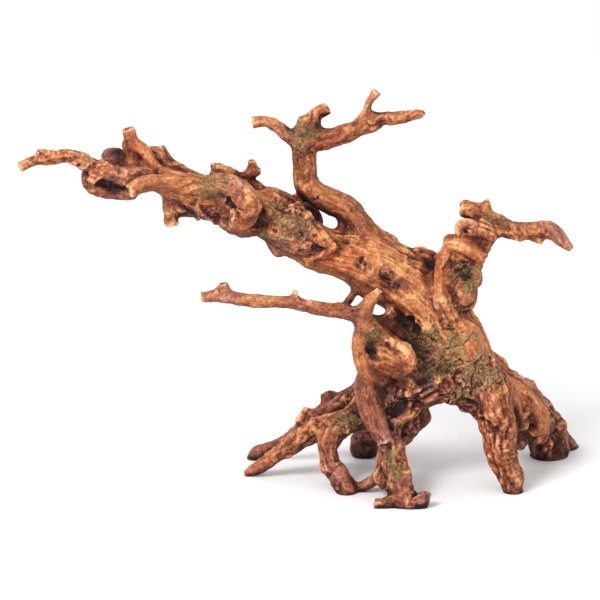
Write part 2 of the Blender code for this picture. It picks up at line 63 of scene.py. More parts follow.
# Each branch is a run of points along its heart: x, y, z and the radius there, in millimetres.
BRANCHES = {
    # The trunk leans from the root crown at the lower right up to the thin left end.
    "trunk": [(171, 90, 60, 12), (154, 87, 79, 17), (135, 84, 95, 24), (112, 82, 130, 26),
        (90, 82, 156, 25), (68, 80, 172, 23.5), (42, 83, 183, 19.5), (14, 86, 190, 18), (-8, 88, 205, 18),
        (-30, 88, 219, 17), (-52, 86, 229, 15), (-76, 84, 239, 13.5), (-98, 82, 245, 12),
        (-120, 80, 253, 10), (-138, 78, 257, 8), (-150, 78, 258, 6)],
    "trunk_shoulder": [(77, 95, 178, 14.5), (90, 94, 176, 13), (101, 92, 175, 12.5), (115, 88, 166, 13)],
    "trunk_front_ridge": [(60, 82, 194, 8), (77, 74, 182, 9), (96, 71, 160, 10), (117, 70, 141, 11),
        (134, 71, 119, 12), (145, 75, 100, 11), (156, 80, 86, 9)],
    "trunk_back_ridge": [(158, 106, 69, 9), (129, 110, 105, 11), (96, 110, 143, 11), (64, 106, 171, 10),
        (32, 103, 184, 8), (0, 103, 199, 8)],
    # The crown under the trunk, where the roots gather.
    "root_crown": [(151, 70, 74, 14), (139, 74, 77, 19), (120, 76, 88, 22.4), (96, 70, 86, 22),
        (80, 66, 77, 18), (69, 62, 66, 13)],
    "crown_core": [(66, 62, 84, 16), (73, 64, 66, 15), (80, 70, 52, 11)],
    "top_knoll": [(92, 90, 183, 8), (103, 88, 181, 7.4)],
    "trunk_chin": [(44, 74, 171, 9), (54, 70, 165, 9), (66, 70, 160, 9)],
    # Two legs stand under the right end.
    "right_front_leg": [(143, 78, 98, 14), (150, 68, 83, 15), (156, 58, 68, 13), (159, 53, 51, 12),
        (160, 50, 36, 12), (165, 48, 23, 10.4), (170, 46, 10, 8.8), (171, 44, -1, 8), (172, 43, -11, 7)],
    "leg_knuckle": [(160, 48, 36, 8), (158, 45, 29, 7.4)],
    "leg_root": [(138, 70, 72, 12), (148, 65, 60, 8.4), (153, 60, 48, 8)],
    "leg_edge": [(162, 58, 66, 7), (166, 50, 52, 6), (167, 47, 38, 6), (168, 46, 24, 6)],
    "right_back_leg": [(166, 94, 71, 14), (180, 106, 55, 13.4), (193, 117, 41, 14), (198, 127, 25, 14.5),
        (201, 132, 9, 15.5), (202, 137, -9, 15)],
    "right_back_heel": [(187, 116, 52, 8.5), (198, 130, 32, 8.5), (206, 143, 14, 8.5), (216, 152, 3, 8),
        (221, 158, -8, 7.5)],
    "right_back_instep": [(194, 124, 36, 12), (203, 135, 18, 12), (209, 147, 4, 10), (212, 152, -10, 9)],
    "right_fold": [(140, 79, 97, 14), (157, 78, 84, 12), (171, 83, 75, 12), (181, 90, 62, 12),
        (187, 97, 49, 11), (189, 104, 37, 10), (190, 112, 24, 9.5)],
    "right_strand": [(166, 72, 84, 5), (176, 75, 76, 5.5), (184, 78, 67, 6), (190, 82, 58, 6.5),
        (194, 86, 48, 6.5), (193, 90, 39, 5.5), (187, 92, 34, 4)],
    "inner_strand": [(166, 70, 78, 6), (173, 71, 66, 5.4), (177, 75, 54, 5), (179, 79, 43, 4.4)],
    "between_legs_stub": [(170, 95, 47, 8), (175, 100, 31, 7.5), (178, 102, 21, 6)],
    # The roots that spread to the left.
    "left_front_leg": [(28, 64, 46, 9.5), (23, 58, 38, 8.5), (23, 54, 29, 7.8), (25, 50, 20, 7.8),
        (32, 46, 12, 8), (36, 42, 3, 7.5), (37, 40, -8, 6.5)],
    "long_root": [(61, 70, 62, 13), (40, 67, 52, 11.4), (24, 68, 48, 9), (6, 72, 39, 8), (-9, 76, 27, 6.8),
        (-22, 79, 16, 5.4), (-34, 82, 7, 4.6), (-44, 84, 1, 3.4)],
    "far_root": [(62, 86, 68, 12), (42, 93, 60, 9), (24, 99, 51, 7.5), (9, 105, 40, 6.4),
        (-3, 110, 28, 4.6), (-16, 115, 18, 4.4), (-27, 119, 12, 4), (-35, 122, 6, 4.7),
        (-39, 126, -1, 4.4)],
    "far_root_knob": [(3, 104, 40, 5), (0, 101, 38, 4.6)],
    "far_root_strand": [(58, 88, 77, 10), (42, 98, 65, 7), (31, 105, 57, 6), (22, 108, 50, 5)],
    "far_root_stub": [(27, 106, 52, 6.5), (22, 110, 58, 5.5), (21, 112, 61, 5.2)],
    "far_root_thorn": [(6, 105, 44, 3.6), (4, 104, 49, 2.2), (3, 104, 52, 1.3)],
    # The knot of roots in the middle.
    "front_stub": [(58, 58, 90, 13), (54, 46, 84, 11), (55, 42, 76, 9.6), (58, 38, 67, 8.6),
        (62, 34, 58, 8), (66, 31, 51, 6.8), (68, 29, 46, 6.2)],
    "front_leg": [(69, 56, 56, 11), (72, 46, 46, 9.5), (75, 36, 36, 9), (77, 27, 26, 9), (80, 19, 15, 10),
        (81, 13, 6, 9.5), (80, 9, -1, 8)],
    "front_leg_knots": [(74, 34, 38, 7), (79, 26, 31, 6), (82, 20, 22, 6), (83, 16, 13, 6)],
    "front_leg_bark": [(72, 30, 30, 6), (74, 22, 22, 6.5), (73, 16, 13, 6)],
    "front_toe_right": [(80, 9, 4, 7), (92, 6, 3, 6), (99, 6, 6, 6.2), (101, 7, 11, 5.2)],
    "front_toe_left": [(78, 11, 5, 7), (69, 7, 3, 5.8), (59, 6, 3, 4.6)],
    "front_spur": [(70, 42, 39, 6.5), (66, 40, 29, 5), (64, 38, 19, 4.5), (57, 41, 9, 4.8),
        (46, 46, 2, 4)],
    "front_leg_burl": [(66, 32, 19, 6.5), (69, 28, 11, 6.5)],
    "rear_block": [(66, 84, 62, 13), (57, 106, 38, 10.5), (53, 122, 19, 10), (52, 135, 3, 10),
        (52, 145, -10, 9.5)],
    "rear_bend": [(87, 80, 72, 12), (93, 84, 59, 9.5), (93, 86, 48, 10), (85, 80, 41, 8.5),
        (77, 66, 35, 7.5), (71, 50, 31, 7.5)],
    "rear_bend_stub": [(93, 62, 64, 4.6), (85, 56, 61, 4.6), (76, 50, 57, 4)],
    "rear_mass": [(76, 70, 68, 13), (82, 74, 56, 12), (86, 78, 46, 9)],
    "rear_cleft": [(90, 72, 72, 8), (95, 76, 64, 6), (96, 80, 55, 6)],
    # The round burl with its rolled lips, in front of the crown.
    "burl": [(58, 50, 119, 11), (66, 46, 113, 14), (75, 48, 108, 14), (84, 56, 99, 14)],
    "burl_roll": [(48, 42, 135, 5.2), (47, 39, 126, 5.6), (48, 37, 116, 5.8), (51, 39, 106, 6),
        (57, 41, 98, 6.2), (65, 40, 93, 4.4), (67, 38, 91, 2.4)],
    "burl_lip": [(66, 44, 127, 6), (76, 40, 124, 6.2), (84, 38, 119, 6), (86, 39, 111, 6),
        (80, 43, 102, 5.6), (71, 46, 97, 5)],
    # The forked branch that rises from the burl, and the long thin twig it carries.
    "fork": [(72, 54, 120, 9), (62, 48, 130, 8.4), (54, 43, 139, 8), (50, 40, 148, 7.6), (53, 36, 158, 6),
        (58, 33, 167, 4.2), (63, 31, 174, 2.1)],
    "long_twig": [(50, 40, 150, 6.4), (41, 38, 152, 5.8), (29, 37, 154.5, 5.5), (11, 36, 157.5, 5.2),
        (-6, 36, 161.5, 4.8), (-30, 38, 162.5, 4.5), (-48, 40, 163, 4.4), (-58, 41, 165, 4.5),
        (-69, 41, 166, 4), (-79, 41, 165, 3.8)],
    "long_twig_stub": [(-57, 41, 165, 3.7), (-60, 43, 170, 3.7), (-61, 44, 176, 3.8)],
    "long_twig_thorn": [(-5, 36, 162, 3.7), (-4, 35, 168, 3), (-4, 35, 173, 1.8)],
    "long_twig_bump": [(-66, 40, 167, 3), (-69, 39, 170, 2.4)],
    "bridge_twig": [(34, 42, 155, 3.2), (39, 56, 158, 2.4), (45, 70, 164, 3), (48, 76, 170, 3.5)],
    "fork_nub": [(52, 42, 156, 4), (50, 46, 161, 2.2)],
    "strut": [(54, 48, 141, 7), (62, 56, 139, 5), (70, 64, 136, 5.4), (78, 68, 129, 6.2),
        (90, 70, 121, 7.5), (101, 72, 112, 9.5)],
    "strut_nub": [(73, 62, 137, 3.6), (71, 60, 145, 2.2), (70, 59, 147, 1.6)],
    # The bowed branch on top of the trunk, with a small eye at its foot and two arms.
    "bow": [(64, 90, 187, 16), (52, 92, 201, 11.6), (46, 94, 212, 10.8), (37, 96, 221, 10.2),
        (24, 97, 227, 9.8), (12, 96, 235, 9.4), (5, 95, 246, 9.4), (4, 94, 260, 9.2), (2, 93, 273, 8.8),
        (2, 92, 283, 10)],
    "bow_inner_leg": [(42, 94, 218, 6.4), (36, 92, 211, 5), (34, 90, 203, 5), (37, 88, 195, 7)],
    "back_spur": [(5, 100, 199, 8), (12, 108, 205, 5), (9, 112, 214, 5.6), (0, 113, 217, 5.2)],
    "left_arm": [(2, 92, 281, 9), (-9, 92, 283, 6.8), (-17, 93, 290, 5), (-27, 94, 295, 4.5),
        (-38, 94, 294, 4.9)],
    "bow_bump": [(2, 88, 291, 6), (2, 86, 300, 4)],
    "bow_stub": [(6, 90, 292, 6.4), (13, 92, 300, 4.8), (22, 94, 306, 4.8)],
    "right_arm": [(5, 90, 281, 9), (18, 86, 283, 8.2), (32, 80, 288, 7.6), (46, 75, 295, 7),
        (61, 72, 302, 6.2), (74, 70, 305, 5.8), (86, 68, 307, 5), (94, 67, 309, 4), (99, 66, 311, 2.4)],
    "right_arm_twig": [(49, 74, 301, 4), (52, 73, 310, 3.1), (55, 72, 318, 2.9), (58, 71, 323, 3.4),
        (61, 71, 327, 3.8)],
    # The thick limb on the right, with its knob and the arm that droops to a point.
    "limb": [(109, 82, 136, 20), (122, 80, 156, 17), (126, 80, 175, 17.2), (133, 78, 191, 14.5),
        (143, 76, 202, 12), (151, 74, 211, 9.4), (161, 72, 214, 7), (171, 69, 212, 7.2),
        (182, 66, 213, 7.2), (193, 63, 215, 6.8), (201, 60, 214, 6), (208, 57, 208, 4.8),
        (213, 55, 203, 3.2), (217, 54, 199, 1.6)],
    "limb_ring": [(137, 70, 205, 8), (131, 65, 212, 6)],
    "limb_ring_lip": [(126, 61, 212, 2.8), (127, 60, 218, 2.8), (132, 59, 221, 2.8), (137, 60, 218, 2.8),
        (138, 61, 212, 2.8)],
    "limb_lobe": [(140, 67, 214, 6), (147, 64, 214, 6.5), (153, 66, 210, 6)],
    "limb_corner": [(124, 72, 193, 11), (118, 70, 205, 4.6)],
    "limb_heel": [(118, 70, 182, 7), (111, 73, 190, 5)],
    "limb_left_ridge": [(121, 66, 202, 5), (115, 66, 188, 5.5), (112, 64, 172, 6), (113, 62, 156, 7),
        (118, 60, 142, 8)],
    "limb_right_ridge": [(148, 71, 201, 6), (140, 68, 184, 5), (136, 66, 170, 6), (128, 64, 156, 7)],
    "limb_brow": [(116, 68, 200, 4), (127, 61, 202, 4.6), (136, 60, 198, 4.8), (142, 63, 190, 4.2),
        (142, 65, 184, 3)],
    "limb_bump": [(131, 78, 170, 11), (143, 76, 169, 6)],
    "knob_neck": [(146, 74, 210, 8), (147, 75, 218, 5.4), (146, 76, 224, 5.6)],
    "knob": [(130, 78, 227, 6), (141, 77, 226, 6), (149, 76, 228, 4.8)],
    "knob_peak": [(148, 76, 229, 4.4), (149, 76, 236, 1.6)],
    "knob_ledge": [(147, 72, 218, 5.6), (156, 72, 221, 4), (163, 72, 221, 2.4)],
    "limb_drip": [(174, 66, 210, 5), (182, 64, 209, 4.6), (189, 63, 208, 4.4), (193, 62, 206, 3.4)],
    "limb_drip_inner": [(174, 66, 210, 6.2), (178, 64, 206, 3.4)],
    # The gnarled left end: fingers, stubs and the lobe that hangs below them.
    "finger": [(-120, 75, 255, 8), (-134, 70, 257, 7.2), (-146, 67, 259, 6.4), (-159, 64, 265, 5.8),
        (-170, 61, 271, 5.6), (-183, 58, 277, 6), (-195, 56, 277, 6), (-206, 54, 276, 5.4),
        (-215, 52, 273, 4.6), (-223, 51, 270, 3.4)],
    "finger_nub": [(-197, 53, 279, 4), (-204, 50, 282, 3), (-209, 49, 283, 2.6)],
    "finger_thumb": [(-157, 63, 265, 4.8), (-162, 56, 261, 4.2), (-167, 52, 257, 3.4)],
    "under_lobe": [(-163, 74, 261, 5.6), (-169, 74, 253, 5.6), (-160, 76, 246, 6.4), (-143, 78, 242, 6.4),
        (-128, 80, 246, 6.5), (-112, 82, 249, 7)],
    "second_finger": [(-70, 76, 245, 8), (-91, 66, 252, 6.4), (-110, 62, 255, 5.8), (-123, 58, 255, 5.6),
        (-131, 55, 252, 5.2), (-136, 53, 250, 4.3)],
    "upright": [(-112, 76, 254, 6.4), (-119, 76, 266, 4.6), (-125, 77, 276, 4.5), (-133, 78, 282, 4.9),
        (-136, 78, 289, 4.8), (-137, 78, 294, 4.8)],
    "upright_strand": [(-133, 82, 257, 6.2), (-136, 80, 271, 5), (-138, 79, 282, 4.2)],
    "rear_knuckle": [(-125, 90, 257, 8), (-140, 92, 264, 7.6), (-150, 92, 269, 5.6), (-157, 89, 265, 4)],
    "knuckle_web": [(-126, 84, 260, 8), (-140, 84, 262, 7), (-151, 82, 263, 5.6), (-160, 78, 262, 4)],
    "flat_stub": [(-72, 94, 241, 7), (-90, 97, 247, 6), (-105, 98, 260, 6), (-114, 97, 270, 6.6)],
    "flat_stub_web": [(-92, 92, 248, 7), (-106, 92, 258, 6.5), (-115, 93, 267, 6.5), (-120, 93, 269, 4.6)],
    "ridge_strand": [(-94, 92, 244, 6), (-83, 92, 246, 5.4), (-74, 94, 245, 5.4), (-64, 96, 242, 6)],
    "down_stub": [(-102, 80, 239, 5.2), (-104, 80, 229, 4), (-104, 80, 219, 3.7), (-103, 80, 214, 3)],
    "under_bark": [(-102, 82, 238, 7.2), (-93, 83, 230, 9), (-82, 84, 227, 9.6), (-67, 85, 225, 9.8),
        (-54, 85, 220, 10)],
    "elbow": [(-74, 74, 246, 7.5), (-59, 66, 251, 8), (-48, 60, 246, 9), (-41, 57, 237, 9.5),
        (-42, 54, 229, 8.6), (-49, 51, 226, 7), (-55, 50, 227, 5.8)],
    "elbow_web": [(-62, 74, 240, 8), (-52, 68, 236, 8), (-46, 64, 230, 7)],
    "gnarl": [(-30, 76, 226, 7), (-22, 70, 222, 7.5), (-13, 66, 219, 7.5), (-5, 66, 213, 7)],
    "gnarl_lumps": [(-27, 70, 212, 6), (-18, 65, 210, 6.5), (-8, 64, 206, 6), (2, 66, 203, 6)],
    "gnarl_below": [(-20, 72, 208, 7), (-8, 68, 204, 8), (4, 68, 200, 7)],
    "under_strand": [(-59, 78, 218, 8), (-45, 77, 212, 8.4), (-30, 78, 211, 8.8), (-13, 82, 198, 9.6),
        (5, 84, 187, 9.6)],
    "ragged_stub": [(-29, 98, 228, 8), (-41, 102, 239, 6.2), (-52, 104, 246, 5), (-63, 104, 250, 4.6),
        (-72, 103, 252, 4.4)],
    "ragged_stub_lumps": [(-56, 102, 248, 4.6), (-60, 100, 252, 4.4), (-66, 101, 255, 3.4)],
    "star_twig": [(-39, 100, 240, 4), (-42, 100, 247, 3.7), (-40, 100, 254, 3.2), (-39, 100, 261, 3)],
    "star_twig_side": [(-41, 100, 251, 3.3), (-36, 100, 252, 3), (-31, 100, 252, 2.6)],
    "ridge_lumps": [(-26, 96, 231, 7.6), (-13, 94, 228, 6.6), (-5, 92, 221, 6)],
    "moss_burl": [(-8, 78, 220, 10.4), (2, 74, 214, 10.4)],
    "folded_lip": [(8, 72, 211, 5.4), (19, 68, 206, 5.4), (23, 67, 201, 5.6), (16, 70, 193, 5.6),
        (5, 74, 190, 6)],
    # Two short stubs on the back.
    "back_stub": [(83, 106, 155, 10.4), (87, 124, 158, 7.6), (90, 136, 160, 6)],
    "back_stub_left": [(-48, 100, 222, 8.8), (-54, 116, 219, 6.4), (-62, 128, 218, 5)],
}

# The branches that were snapped off flat. Every other end is a dome.
SNAPPED = {
    "far_root_stub", "front_stub", "front_toe_left", "rear_bend_stub", "fork", "long_twig",
    "long_twig_stub", "strut_nub", "left_arm", "bow_stub", "right_arm_twig", "knob_peak", "finger",
    "finger_nub", "finger_thumb", "second_finger", "upright", "flat_stub", "down_stub", "elbow",
    "ragged_stub", "star_twig", "star_twig_side", "back_stub", "back_stub_left",
}

# Each point that closes an end as a dome: how far out it is and how wide, in radii.
DOME = ((0.5, 0.85), (0.85, 0.45))
# Points closer than this, in metres, are one point.
TOUCH = 1e-6
# The heart of a branch is read at places about this far apart, in millimetres.
HEART_STEP = 1.2
# How many points are measured against a branch at once.
AT_ONCE = 20000
# How far a branch's grain reaches into its neighbours, in millimetres, and how softly.
BLEND_REACH = 9.0
BLEND_SOFTNESS = 1.3
# The grain of each branch is read this far from the last one's, so that no two are alike.
BRANCH_STEP = 97.0
# Where a flat break starts and where it is whole, in millimetres from the end of the branch.
BREAK = (-1.6, -0.2)
# How far from the skin open space is felt for the painted shade of closed-in places, and the most that
# counts, in millimetres.
GAPS = (7.0, 22.0)
CLEAR_LIMIT = 60.0

# Each finer layer of noise is this much smaller, and the sum is raised by this much.
LAYER_STEP = 2.03
LAYER_GAIN = 1.6
# The noise of each feature: its height, its size in millimetres, its seed and its layers, 0 for plain
# noise. Heights are in millimetres, but 1.0 is scaled where it is used, "rugged" is roughness, and the
# rims of moss, scars, knots, pits and shadows take a share of the spot's size. Three sizes are for
# across, across and along the branch.
FEATURES = {
    "ridges": (1.0, (5.5, 5.5, 34.0), 11, 2), "fibres": (1.0, (2.4, 2.4, 20.0), 21, 2),
    "hairs": (1.0, (0.95, 0.95, 11.0), 31, 0), "cracks": (1.0, (3.2, 3.2, 40.0), 41, 0),
    "lumps": (2.8, (9.0, 9.0, 14.0), 51, 3), "knobs": (3.8, (11.0, 11.0, 16.0), 61, 2),
    "wander": (0.9, 9.0, 5, 0), "bend": (4.0, 12.0, 7, 0), "ragged": (1.0, 7.0, 71, 4),
    "moss": (0.45, 6.0, 73, 4), "scar": (0.35, 6.0, 83, 4), "swell": (1.0, 17.0, 91, 2),
    "rope": (1.0, 22.0, 93, 0), "rugged": (0.45, 17.0, 94, 0), "broken": (1.0, 13.0, 95, 0),
    "boss": (3.0, 15.0, 96, 2), "ripple": (0.25, 7.5, 97, 2), "tooth": (0.22, 1.9, 98, 2),
    "crease": (1.0, 6.5, 99, 3), "fuzz": (0.22, 1.5, 121, 2), "knot": (0.2, 5.0, 125, 2),
    "splinter": (0.55, 1.8, 131, 2), "pit": (0.25, 4.0, 141, 2), "shadow": (0.25, 5.0, 143, 3),
}
# Noise size, first seed and reach of the pushing about of the points, in millimetres.
WARP = (9.0, 200, 3.0)
# Heights of the ridges and swellings as a share of the branch's radius, up to a radius.
RIDGE_SHARE = 0.013
RIDGE_RADIUS = 20
SWELL_SHARE = 0.085
SWELL_RADIUS = 22
# Heights of the grain's fibres and hairs, and how much of the knobs lies under the skin, in millimetres.
FIBRE_HEIGHT = 0.19
HAIR_HEIGHT = 0.11
KNOB_LEVEL = 1.14
# Plates of moss or torn bark: size, seed, height, level at the skin, depth and width of the cracks.
PLATES = ((15.0, 101, 1.9, 0.4, 1.1, 0.10), (5.0, 111, 0.5, 0.5, 0.3, 0.15))
# How much of the plates shows on moss and on scars, and how deep a scar lies, in millimetres.
MOSS_BARK = 0.8
SCAR_BARK = 0.6
SCAR_DEPTH = 0.5
# What counts as a sole, the height where the carving is whole, and the least height of the rest.
SOLE = 0.05
FOOT = 3.0
ABOVE_FLOOR = 0.15
# The share of one last smoothing of the carved skin.
SETTLE = 0.35

# How pale each branch is, where below 0 is darker and more purple, and how knotted and rough its skin is.
# The darker, more purple tones are partly the wood's own colour and partly painted shade on the branches
# at the back, underneath and in between.
LOOKS = {
    "trunk": (0.85, 0.05), "trunk_shoulder": (0.8, 0.1), "trunk_front_ridge": (0.7, 0.0),
    "trunk_back_ridge": (-0.2, 0.5), "root_crown": (-0.35, 0.6), "crown_core": (-0.45, 0.6),
    "trunk_chin": (0.3, 0.1), "right_front_leg": (-0.05, 0.75), "leg_edge": (-0.05, 0.6),
    "right_back_leg": (-0.35, 0.6), "right_back_heel": (-0.4, 0.6), "right_back_instep": (-0.35, 0.6),
    "right_fold": (0.1, 0.6), "right_strand": (0.45, 0.25), "inner_strand": (0.2, 0.6),
    "between_legs_stub": (-0.6, 0.6), "left_front_leg": (-0.15, 0.7), "long_root": (-0.05, 0.7),
    "far_root": (-0.35, 0.6), "far_root_knob": (0.3, 0.6), "far_root_strand": (-0.4, 0.6),
    "far_root_stub": (-0.2, 0.6), "front_stub": (-0.35, 0.15), "front_leg": (-0.3, 0.9),
    "front_leg_knots": (0.0, 1.0), "front_leg_bark": (0.0, 1.0), "front_toe_right": (-0.5, 1.1),
    "front_toe_left": (-0.35, 1.1), "front_spur": (0.25, 0.2), "rear_block": (-0.45, 0.6),
    "rear_bend": (-0.5, 0.6), "rear_bend_stub": (0.35, 0.6), "rear_mass": (-0.4, 0.9),
    "rear_cleft": (-0.6, 1.0), "burl": (0.05, 0.1), "burl_roll": (0.2, 0.12), "burl_lip": (0.5, 1.0),
    "fork": (0.05, 0.15), "long_twig": (-0.15, 0.45), "long_twig_stub": (-0.1, 0.6),
    "bridge_twig": (-0.5, 0.2), "strut": (-0.6, 0.15), "bow": (0.05, 0.1), "bow_inner_leg": (0.0, 0.2),
    "back_spur": (-0.6, 0.6), "bow_bump": (-0.15, 0.6), "bow_stub": (-0.1, 0.6), "right_arm": (-0.15, 0.6),
    "limb": (-0.15, 0.7), "limb_ring": (0.0, 0.5), "limb_ring_lip": (0.1, 0.6), "limb_lobe": (0.2, 0.8),
    "limb_left_ridge": (0.15, 0.6), "limb_right_ridge": (-0.1, 0.6), "limb_brow": (0.65, 0.35),
    "limb_bump": (-0.2, 0.6), "knob": (0.3, 0.6), "limb_drip": (0.35, 0.9), "finger": (0.1, 0.8),
    "finger_thumb": (0.25, 0.6), "under_lobe": (-0.3, 0.6), "second_finger": (0.3, 0.35),
    "upright": (0.3, 0.2), "rear_knuckle": (-0.5, 0.9), "knuckle_web": (-0.45, 0.9),
    "flat_stub": (-0.1, 0.8), "flat_stub_web": (-0.35, 0.9), "ridge_strand": (-0.1, 0.6),
    "down_stub": (-0.15, 0.8), "under_bark": (-0.6, 1.0), "elbow": (0.15, 0.3), "elbow_web": (0.0, 0.3),
    "gnarl": (0.25, 1.0), "gnarl_lumps": (0.2, 1.0), "under_strand": (-0.25, 0.4),
    "ragged_stub": (-0.1, 0.9), "star_twig": (0.2, 0.6), "star_twig_side": (0.1, 0.6),
    "moss_burl": (0.0, 1.0), "folded_lip": (0.35, 0.8), "back_stub": (-0.3, 0.6),
}
PLAIN_LOOK = (0.0, 0.6)
# How mossy a whole branch is.
MOSSY = {
    "gnarl": 0.3, "gnarl_lumps": 0.3, "star_twig": 0.1, "star_twig_side": 0.2, "ridge_lumps": 0.35,
    "moss_burl": 0.35,
}
# Patches of moss, and scars where bark has torn away: x, y, z and size.
MOSS = [
    (-72, 66, 250, 14), (-60, 62, 256, 8), (-14, 62, 220, 14), (-2, 64, 215, 12), (-24, 66, 207, 11),
    (-14, 62, 206, 9), (-16, 76, 232, 10), (0, 84, 290, 12), (-2, 82, 278, 10), (10, 84, 292, 8),
    (152, 68, 219, 9), (162, 68, 220, 7), (128, 62, 180, 12), (134, 60, 171, 8), (99, 62, 190, 9),
    (92, 54, 128, 13), (104, 52, 120, 20), (122, 54, 112, 26), (140, 56, 98, 22), (132, 58, 84, 15),
    (154, 64, 92, 13), (106, 54, 98, 12), (160, 66, 86, 9), (60, 40, 134, 10), (58, 40, 142, 6),
    (33, 56, 58, 12), (42, 54, 54, 9), (72, 24, 36, 10), (76, 18, 28, 10), (68, 40, 78, 6),
    (146, 60, 70, 8), (110, 110, 120, 20), (-40, 104, 226, 14), (60, 112, 178, 12), (6, 104, 230, 8),
    (150, 116, 80, 12),
]
SCARS = [
    (50, 62, 186, 6), (55, 60, 180, 5), (70, 58, 178, 6), (74, 58, 171, 6), (68, 60, 184, 4),
    (132, 62, 178, 9), (-84, 72, 232, 8), (-70, 74, 226, 7), (-100, 76, 240, 7), (20, 112, 190, 10),
    (-36, 64, 214, 6), (90, 60, 84, 9), (74, 56, 84, 7),
]
# Knots: x, y, z, reach and height.
KNOTS = [
    (12, 60, 201, 6, 2.2), (150, 56, 118, 7, 1.6), (110, 52, 158, 8, 1.4), (86, 58, 186, 6, 1.2),
    (30, 64, 190, 6, 1.2), (164, 40, 40, 5, 1.4), (-183, 53, 279, 5, 1.2), (-30, 33, 162, 4, 0.6),
    (64, 84, 212, 6, 1.0), (197, 112, 40, 8, 1.4), (90, 108, 150, 10, 1.6), (-60, 100, 232, 7, 1.2),
    (26, 48, 30, 4, 0.8),
]
# Painted shadows in hollows: x, y, z, reach and how dark, where below 0 is paler.
PAINTED_SHADOWS = [
    (80, 60, 141, 7, 2.6), (86, 60, 136, 7, 2.6), (93, 60, 130, 6, 2.6), (57, 35, 123, 6, 2.6),
    (172, 66, 50, 7, 2.4), (172, 60, 60, 6, 2.2), (183, 74, 52, 4, 2.2), (62, 60, 62, 8, 2.0),
    (52, 66, 52, 9, 2.0), (131, 60, 178, 13, 0.5), (50, 62, 186, 9, 0.9), (70, 58, 178, 9, 1.0),
    (82, 58, 170, 8, 0.9), (80, 42, 98, 9, 1.2), (92, 48, 100, 9, 1.0), (76, 54, 168, 7, 0.7),
    (64, 38, 92, 7, 1.0), (100, 50, 86, 8, 0.8), (8, 60, 200, 5, -0.3), (184, 66, 58, 6, 2.0),
    (186, 68, 44, 7, 2.2), (150, 60, 80, 7, 0.5),
]
# Pits: x, y, z, reach and depth.
PITS = [
    (132, 58, 214, 2.3, 1.6), (57, 33, 124, 5.5, 4.0), (-55, 60, 238, 8, 3.5), (86, 58, 138, 8, 6.0),
    (92, 60, 132, 6, 4.0), (-176, 55, 271, 2.2, 1.2), (130, 60, 184, 7, 1.5), (134, 60, 176, 6, 1.0),
    (91, 50, 66, 6, 3.0), (-20, 62, 212, 4, 1.5), (120, 62, 150, 4, 1.2),
]

# Colours from the deepest groove's painted shade to the brightest ridge's painted highlight: level, then
# linear red, green and blue.
WOOD_STOPS = [
    (0.0, (0.012, 0.004, 0.003)), (0.22, (0.060, 0.015, 0.008)), (0.42, (0.170, 0.047, 0.019)),
    (0.6, (0.342, 0.110, 0.040)), (0.8, (0.570, 0.235, 0.088)), (1.0, (0.800, 0.450, 0.212)),
]
PURPLE_STOPS = [
    (0.0, (0.016, 0.006, 0.007)), (0.3, (0.095, 0.030, 0.026)), (0.6, (0.275, 0.105, 0.080)),
    (1.0, (0.580, 0.290, 0.215)),
]
CUT_STOPS = [
    (0.0, (0.10, 0.04, 0.02)), (0.4, (0.42, 0.22, 0.11)), (0.7, (0.70, 0.46, 0.27)),
    (1.0, (0.86, 0.66, 0.44)),
]
SCAR_STOPS = [
    (0.0, (0.014, 0.005, 0.004)), (0.35, (0.075, 0.020, 0.012)), (0.65, (0.230, 0.075, 0.040)),
    (1.0, (0.480, 0.220, 0.120)),
]
MOSS_STOPS = [
    (0.0, (0.012, 0.006, 0.004)), (0.3, (0.066, 0.032, 0.016)), (0.55, (0.180, 0.098, 0.044)),
    (0.8, (0.320, 0.190, 0.090)), (1.0, (0.460, 0.310, 0.160)),
]
YELLOW_STOPS = [
    (0.0, (0.014, 0.011, 0.004)), (0.3, (0.055, 0.045, 0.013)), (0.55, (0.150, 0.126, 0.036)),
    (0.8, (0.270, 0.238, 0.075)), (1.0, (0.420, 0.380, 0.150)),
]

# Fine patterns in the colours: scale for each millimetre, detail and roughness.
SPECKLES = {
    "cloud": (0.045, 3.0, 0.55), "grit": (0.55, 4.0, 0.65), "blotch": (0.14, 4.0, 0.6),
    "red": (0.03, 4.0, 0.6), "purple": (0.024, 4.0, 0.6), "yellow": (0.07, 4.0, 0.65),
    "dust": (1.3, 3.0, 0.6),
}
# Levels on the colour strips: the start, then what each pattern adds or takes away.
LEVEL_START = 0.455
# The two depth levels paint shade into creases and hollows and highlight onto the ridges between them.
LEVELS = {"broad": 0.06, "cloud": 0.50, "grit": 0.62, "blotch": 0.24, "crease_shade": -0.85, "hollow": -0.68}
# The downward-facing level paints shade on the undersides, and the tone carries painted shadows as well.
MORE_LEVELS = {"streak": 0.15, "crack": -0.22, "underside_shade": -0.13, "tone_and_shade": 0.24}
# Painted shade: space that is less open than OPEN_FULL darkens the wood by this much.
OPEN_FULL = 0.85
OPEN_SHADE = 0.60
# The redder patches, as a screen colour, and how much of them, of fresh breaks and of scars shows.
RED = (150, 78, 60)
RED_SHARE = 0.45
CUT_SHARE = 0.35
SCAR_SHARE = 0.75
# How much of the purple patches shows, and how much more where the tone is dark, painted shade included.
PURPLE_SHARE = 0.6
PURPLE_TONE = 0.75
# The moss: its level from the wood's, painted shade and highlight included, and how much of it and of its
# yellow patches shows.
MOSS_LEVEL = (0.62, 0.20)
MOSS_SHARE = 0.85
YELLOW_SHARE = 0.62
# The sheen: roughness of bare wood, what moss and grit add, and the strength of the highlight.
ROUGHNESS = 0.56
MOSS_ROUGHNESS = 0.20
GRIT_ROUGHNESS = 0.14
HIGHLIGHT = 0.22
# The finest relief: its strength and its depth in metres.
BUMP_STRENGTH = 0.65
BUMP_DEPTH = 0.0006

